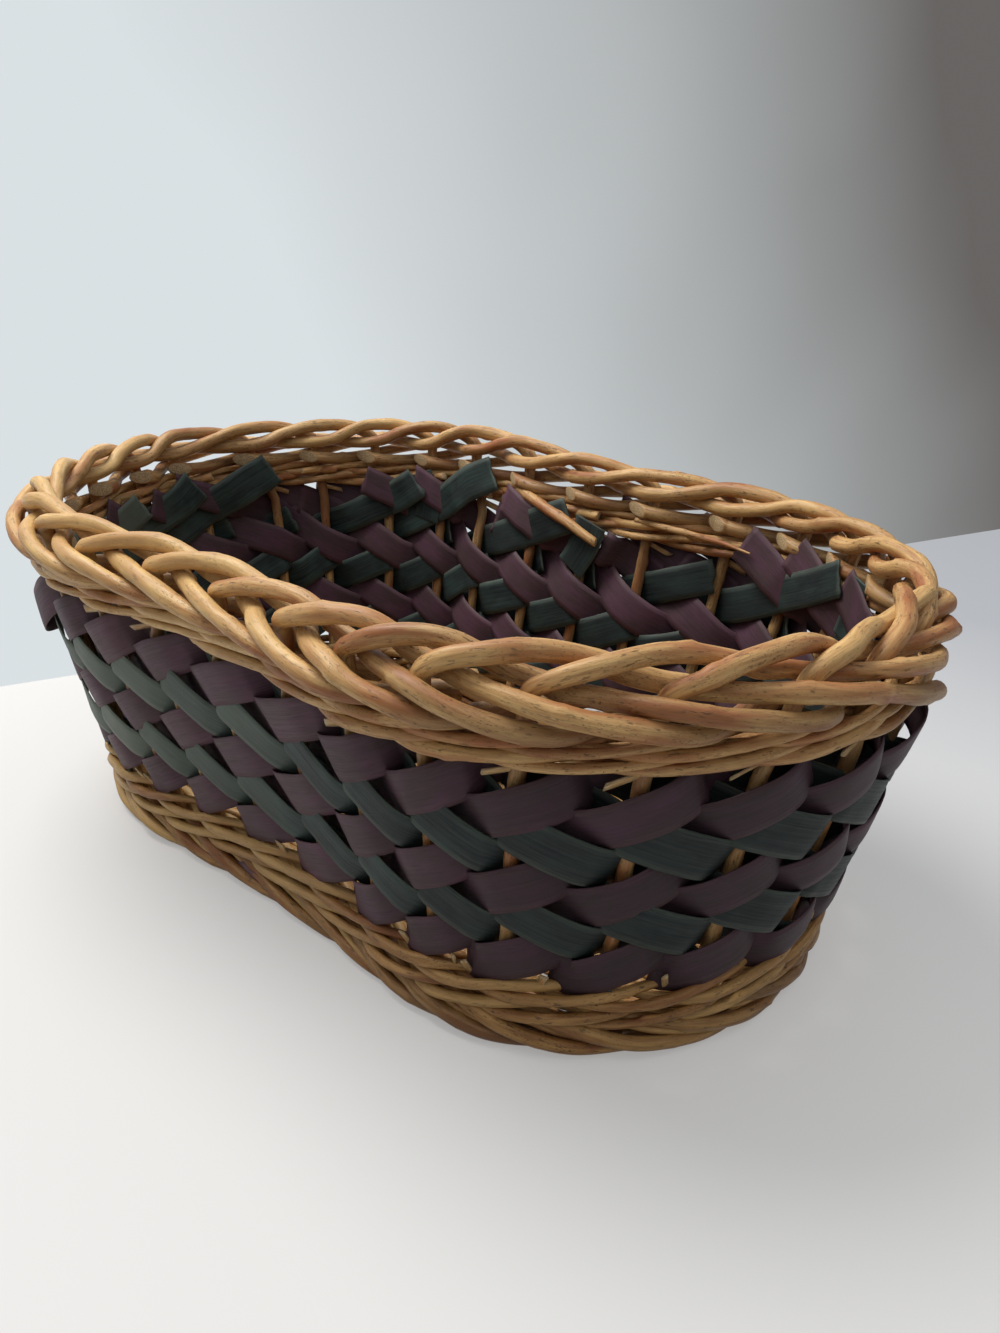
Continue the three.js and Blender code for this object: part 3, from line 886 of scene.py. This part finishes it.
def strip_rows(w, start, begin, end, level, rise, places, tucked):
    """Rows of a strip that winds over and under as it goes up or down the wall."""
    along = np.arange(begin, end, 1.9 / SPACING)
    knots = np.linspace(begin, end, 12)
    up = level + rise * along + np.interp(along, knots, w.chance.normal(0, 0.35, 12))
    out = periodic(places, along)
    swell = from_table((start + along) % STAKES, SWELL)
    out = np.where(out > 0, out * (1 + swell), out)
    above = np.clip(up - TUCK_LEVEL, 0, 8.0)
    out = np.where(above > 0, tucked + np.sign(tucked) * 0.5 * above, out)
    twist = np.interp(along, knots, w.chance.normal(0, 0.25, 12))
    return np.stack([start + along, np.maximum(up, LOWEST_LEVEL), out, twist], axis=1)


def purple_strips():
    w = Weave(301)
    width = shape().purple_width
    begin, usual_end = PURPLE_RUN
    for i in range(STAKES):
        end = PURPLE_ENDS.get(i, usual_end + w.chance.uniform(-0.12, 0.12))
        tucked = PURPLE_TUCK_OUTSIDE if i in PURPLE_OUTSIDE else PURPLE_TUCK
        rows = strip_rows(w, i, begin, end, PURPLE_LEVEL, STRIP_RISE, PURPLE_PLACES, tucked)
        if i in COME_AWAY:
            onward, far, down = COME_AWAY[i]
            share = np.exp(-(((rows[:, 0] - i - onward) / COME_AWAY_TURNS) ** 2))
            rows[:, 2] += far * share
            rows[:, 1] -= down * share
        wide = width * w.chance.uniform(0.96, 1.03)
        # Painted light and shade by turns round the basket, with a random tone on top
        fade = from_table(rows[:, 0], PURPLE_PAINTED_LIGHT, STAKES)
        w.strip(rows, wide, fade + w.chance.uniform(-0.3, 0.3))
    w.strip([(*key, 0.0) for key in SCRAP], width * SCRAP_WIDTH, 1.0, across=2)
    w.make("chip_purple_strips", "purple_chip", "strip_purple", ["purple_strips"])


def green_strips():
    w = Weave(302)
    width = shape().green_width
    usual_begin, end = GREEN_RUN
    for i in range(STAKES):
        begin = GREEN_ENDS.get(i, usual_begin + w.chance.uniform(-0.15, 0.15))
        rows = strip_rows(w, i, begin, end, GREEN_LEVEL, -STRIP_RISE, GREEN_PLACES, GREEN_TUCK)
        wide = width * w.chance.uniform(0.96, 1.04)
        # Painted light and shade by turns round the basket, with a random tone on top
        fade = from_table(rows[:, 0], GREEN_PAINTED_LIGHT, STAKES)
        w.strip(rows, wide, fade + w.chance.uniform(-0.25, 0.25))
    for keys in FLAPS:
        rows = smooth_run([(*key, 0.0) for key in keys])
        w.strip(rows, width * FLAP_WIDTH, -0.5, ragged=0.3)
    w.make("chip_green_strips", "green_chip", "strip_green", ["green_strips"])


def foot_strand(w, number, late, size, keys, loose, clear, tones, taper=0.0, sides=11):
    """One strand that slants over the foot, with room for its radius above the floor."""
    rows = []
    for onward, out, up in keys:
        jitter = w.chance.normal(0, loose, 2)
        level = max(up + jitter[0], size + clear)
        fat = size * (1 + taper * (0.8 - onward))
        rows.append((number + onward + late, level, out + jitter[1], fat))
    run = smooth_run(rows)
    # Painted light: strands on the lit left end are painted paler, on top of a random tone
    tones = w.chance.uniform(*tones) + painted_light_share(run[:, 0])
    w.rod_on_wall(run, tone=tones, sides=sides, crooked=0.2)


def foot_border():
    """Slanting strands that cross the foot, finer ones between them, and rods inside it."""
    w = Weave(400)
    radius = shape().foot_radius / MM
    for i in range(STAKES):
        size = radius * w.chance.uniform(0.88, 1.1)
        foot_strand(w, i, 0.3, size, FOOT_STRAND, loose=0.25, clear=0.15, taper=0.1, tones=(-1.0, 0.3))
    nearer = [(onward, out * 0.76 + 0.2, up * 1.04) for onward, out, up in FOOT_STRAND]
    for i in range(STAKES):
        size = w.chance.uniform(1.1, 1.7)
        late = w.chance.uniform(0.65, 0.95)
        foot_strand(w, i, late, size, nearer, loose=0.5, clear=0.3, tones=(-0.9, 0.6), sides=8)
    for out, up, size in FOOT_RODS:
        for first in (0, 10, 20):
            turns = np.linspace(first, first + 10.6, 44)
            outs = out + np.linspace(0.4, -0.4, 44)
            sizes = np.linspace(size, size * 0.8, 44)
            run = np.stack([turns, np.full(44, up), outs, sizes], axis=1)
            w.rod_on_wall(run, tone=-0.4, sides=10)
    w.make("willow_foot_border", "golden_willow", "willow_brown", ["foot_ring"])


# Base mat, in millimetres
MAT_ROW_PITCH = 4.3
MAT_ROW_RADIUS = 1.7
MAT_INSET = 5.0
CROSS_STICK_PITCH = 38.0
STICK_RADIUS = 1.65
STICK_STEPS = 30


def clear_half(offset, inset):
    """Half the length inside the foot along X, at so far from the middle in Y, in millimetres."""
    s = shape()
    half = (s.foot_length / 2 - s.foot_reach) / MM
    lobe = (s.foot_width / 2 - s.foot_reach) / MM - inset
    return half - inset - lobe + math.sqrt(max(lobe**2 - offset**2, 0.0))


def woven_base():
    """Weavers that run lengthwise, high over one cross stick and low over the next."""
    w = Weave(500)
    low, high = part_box("base_mat")
    middle = (low.z + high.z) / 2 / MM
    swing = (high.z - low.z) / 2 / MM - MAT_ROW_RADIUS
    rows = int(high.y / MM / MAT_ROW_PITCH)
    for number in range(-rows, rows + 1):
        y = number * MAT_ROW_PITCH
        half = clear_half(abs(y) + MAT_ROW_RADIUS / 2, MAT_INSET)
        x = np.arange(-half, half, 2.0)
        sway = np.cos(np.pi * x / CROSS_STICK_PITCH) * swing * (-1) ** number
        points = np.stack([x, np.full_like(x, y), middle + sway], axis=1) * MM
        radii = np.linspace(MAT_ROW_RADIUS + 0.3, MAT_ROW_RADIUS + 0.1, len(x)) * MM
        w.rod(points, radii, tone=w.chance.uniform(-0.5, 0.4), sides=8, crooked=0.08, step=3.0)
    w.make("willow_base_mat", "golden_willow", "willow_light", ["base_mat"])
    for kind, total in (("base_cross_stick", 7), ("base_long_stick", 3)):
        for i in range(total):
            name = f"{kind}_{i + 1}"
            low, high = (np.array(corner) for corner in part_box(name))
            axis = int(np.argmax(high - low))
            points = np.repeat(((low + high) / 2)[None], STICK_STEPS, axis=0)
            points[:, axis] = np.linspace(low[axis], high[axis], STICK_STEPS)
            radii = np.full(STICK_STEPS, STICK_RADIUS * MM)
            stick = Weave(520 + i + (20 if axis == 0 else 0))
            stick.rod(points, radii, tone=-0.1, sides=10, crooked=0.08, slant=0.15, step=3.0)
            stick.make(f"willow_{name}", "golden_willow", "willow_brown", [name])


# Stage
# Corners of the floor, and the backdrop's two ends in X and Y and its top, in metres
FLOOR = ((-4, -4, 0), (4, -4, 0), (4, 4, 0), (-4, 4, 0))
BACKDROP_ENDS = ((-0.705, -1.2), (0.26, 1.3))
BACKDROP_TOP = 0.6
# How much a metre up counts as a metre on, where the tint of a sheet changes
UPWARD_SHARE = 0.45
# Least and most strength of the room's light, and its strength where the camera sees it
ROOM_LIGHT = (0.08, 0.78)
ROOM_SEEN = 0.8
ROOM_TINT = (0.93, 0.96, 1)
# The camera, from a fit to the rim, the foot and the stakes
CAMERA_PLACE = (0.27688, -0.28831, 0.24502)
CAMERA_RIGHT = (0.7579, 0.6517, 0.0285)
CAMERA_UP = (-0.2781, 0.2833, 0.9178)
CAMERA_FORWARD = (-0.5901, 0.7036, -0.396)
CAMERA_LENS = 27.80


def sheet(name, corners, near_tint, painted_shade_tint, reach, lit, glow):
    """A large pale sheet, part of the stage. Its tint darkens slowly along Y and upwards: painted shade,
    where less light reaches.

    The camera sees it lit by a share of its own, so the light on the basket stays plain.
    """
    mesh = bpy.data.meshes.new(name)
    mesh.from_pydata(corners, [], [tuple(range(len(corners)))])
    n = Nodes(bpy.data.materials.new(name))
    place = n.add("ShaderNodeNewGeometry").outputs["Position"]
    split = n.add("ShaderNodeSeparateXYZ", {"Vector": place}).outputs
    cloud = n.noise(place, (3.0, 3.0, 3.0), detail=2.0)
    along = n.math("ADD", split["Y"], n.ramp(cloud, 0.3, 0.7, -0.03, 0.03))
    along = n.math("ADD", along, n.math("MULTIPLY", split["Z"], UPWARD_SHARE))
    tint = n.mix(n.ramp(along, *reach), near_tint, painted_shade_tint)
    rays = n.add("ShaderNodeLightPath").outputs
    seen = n.math("MAXIMUM", rays["Is Camera Ray"], rays["Is Glossy Ray"])
    n.look({
        "Base Color": n.mix(1.0, tint, (lit, lit, lit), "MULTIPLY"),
        "Emission Color": tint,
        "Emission Strength": n.math("MULTIPLY", seen, glow),
        "Specular IOR Level": 0.1,
        "Roughness": 0.85,
    })
    mesh.materials.append(n.owner)
    piece = placed(name, mesh)
    piece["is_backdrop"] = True
    return piece


def one_sided(piece):
    """Leaves a sheet clear from behind, so that it hides nothing there."""
    n = Nodes(piece.data.materials[0])
    shader = n.shader.outputs["BSDF"]
    surface = shader.links[0].to_socket
    side = n.add("ShaderNodeNewGeometry").outputs["Backfacing"]
    clear = n.add("ShaderNodeBsdfTransparent").outputs["BSDF"]
    both = n.add("ShaderNodeMixShader")
    for source, socket in zip((side, shader, clear), both.inputs):
        n.feed(socket, source)
    n.feed(surface, both.outputs["Shader"])


def room_light():
    """Light from all round, most from above, and pale where the camera looks past the sheets."""
    world = bpy.data.worlds.new("room")
    n = Nodes(world)
    way = n.add("ShaderNodeTexCoord").outputs["Generated"]
    split = n.add("ShaderNodeSeparateXYZ", {"Vector": way}).outputs
    light = n.ramp(split["Z"], 0.0, 0.9, *ROOM_LIGHT)
    seen = n.add("ShaderNodeLightPath").outputs["Is Camera Ray"]
    inputs = n.tree.nodes["Background"].inputs
    n.feed(inputs["Strength"], n.math("MAXIMUM", n.math("MULTIPLY", seen, ROOM_SEEN), light))
    n.feed(inputs["Color"], ROOM_TINT)
    return world


def soft_lamp(name, place, target, size, power, tint):
    lamp = bpy.data.lights.new(name, "AREA")
    lamp.shape = "DISK"
    lamp.size = size
    lamp.energy = power
    lamp.color = tint
    holder = placed(name, lamp)
    holder.location = place
    way = Vector(place) - Vector(target)
    holder.rotation_euler = way.to_track_quat("Z", "Y").to_euler()


def stage():
    c = colours()
    scene = bpy.context.scene
    sheet("floor_sheet", FLOOR, c.floor, c.floor_painted_shade, reach=(0.0, 0.45), lit=0.5, glow=0.33)
    # The backdrop stands just behind the basket and a little higher than the camera sees
    (x0, y0), (x1, y1), top = *BACKDROP_ENDS, BACKDROP_TOP
    corners = [(x0, y0, 0), (x1, y1, 0), (x1, y1, top), (x0, y0, top)]
    far = (0.168, 0.728)
    backdrop = sheet("backdrop_sheet", corners, c.wall, c.wall_painted_shade, reach=far, lit=0.0, glow=1.0)
    # The window's light comes from behind the backdrop, over its top
    one_sided(backdrop)
    backdrop.visible_shadow = False
    backdrop.visible_diffuse = False
    place, target = (-0.62, -0.1, 1.2), (0, 0, 0.08)
    soft_lamp("window_light", place, target, size=0.9, power=18.5, tint=(1.0, 0.985, 0.96))
    scene.world = room_light()
    scene.view_settings.view_transform = "Standard"
    camera = bpy.data.cameras.new("camera")
    camera.lens = CAMERA_LENS
    camera.clip_start = 0.01
    camera.clip_end = 50.0
    holder = placed("camera", camera)
    backward = tuple(-value for value in CAMERA_FORWARD)
    turned = Matrix((CAMERA_RIGHT, CAMERA_UP, backward)).transposed()
    holder.matrix_world = Matrix.Translation(CAMERA_PLACE) @ turned.to_4x4()
    scene.camera = holder


class BASKET_OT_stakes(bpy.types.Operator):
    """Add the stakes, each bent over into its stroke of the border"""

    bl_idname = "basket.stakes"
    bl_label = "Stakes and border"

    def execute(self, context):
        for number in range(STAKES):
            stake_and_stroke(number)
        return {"FINISHED"}


class BASKET_OT_upper_waling(bpy.types.Operator):
    """Add the two rows of waling under the border"""

    bl_idname = "basket.upper_waling"
    bl_label = "Upper waling"

    def execute(self, context):
        waling("upper_wale")
        return {"FINISHED"}


class BASKET_OT_purple_strips(bpy.types.Operator):
    """Add the purple strips that climb to the right"""

    bl_idname = "basket.purple_strips"
    bl_label = "Purple strips"

    def execute(self, context):
        purple_strips()
        return {"FINISHED"}


class BASKET_OT_green_strips(bpy.types.Operator):
    """Add the green strips that fall to the right"""

    bl_idname = "basket.green_strips"
    bl_label = "Green strips"

    def execute(self, context):
        green_strips()
        return {"FINISHED"}


class BASKET_OT_lower_waling(bpy.types.Operator):
    """Add the two rows of waling above the foot"""

    bl_idname = "basket.lower_waling"
    bl_label = "Lower waling"

    def execute(self, context):
        waling("lower_wale")
        return {"FINISHED"}


class BASKET_OT_foot_border(bpy.types.Operator):
    """Add the slanting strands that the basket stands on"""

    bl_idname = "basket.foot_border"
    bl_label = "Foot border"

    def execute(self, context):
        foot_border()
        return {"FINISHED"}


class BASKET_OT_base(bpy.types.Operator):
    """Add the woven base and its sticks"""

    bl_idname = "basket.base"
    bl_label = "Base"

    def execute(self, context):
        woven_base()
        return {"FINISHED"}


class BASKET_OT_stage(bpy.types.Operator):
    """Add the floor, the backdrop, the light and the camera"""

    bl_idname = "basket.stage"
    bl_label = "Stage"

    def execute(self, context):
        stage()
        return {"FINISHED"}


PIECES = (
    BASKET_OT_stakes,
    BASKET_OT_upper_waling,
    BASKET_OT_purple_strips,
    BASKET_OT_green_strips,
    BASKET_OT_lower_waling,
    BASKET_OT_foot_border,
    BASKET_OT_base,
    BASKET_OT_stage,
)


class BASKET_PT_panel(bpy.types.Panel):
    """Sizes, colours and pieces of the basket"""

    bl_idname = "BASKET_PT_panel"
    bl_label = "Woven basket"
    bl_space_type = "VIEW_3D"
    bl_region_type = "UI"
    bl_category = "Basket"

    def draw(self, context):
        layout = self.layout
        for group in (context.scene.basket_shape, context.scene.basket_finish):
            box = layout.box()
            for key in group.__annotations__:
                box.prop(group, key)
        for piece in PIECES:
            layout.operator(piece.bl_idname)


CLASSES = (BasketShape, BasketFinish, *PIECES, BASKET_PT_panel)


def register():
    for cls in CLASSES:
        bpy.utils.register_class(cls)
    bpy.types.Scene.basket_shape = PointerProperty(type=BasketShape)
    bpy.types.Scene.basket_finish = PointerProperty(type=BasketFinish)


def unregister():
    del bpy.types.Scene.basket_finish
    del bpy.types.Scene.basket_shape
    for cls in reversed(CLASSES):
        bpy.utils.unregister_class(cls)


def main():
    register()
    calls = bpy.ops.basket
    calls.stakes()
    calls.upper_waling()
    calls.purple_strips()
    calls.green_strips()
    calls.lower_waling()
    calls.foot_border()
    calls.base()
    calls.stage()
    boxes = [[list(corner) for corner in box] for box in (CAD_BOX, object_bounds())]


if __name__ == "__main__":
    main()
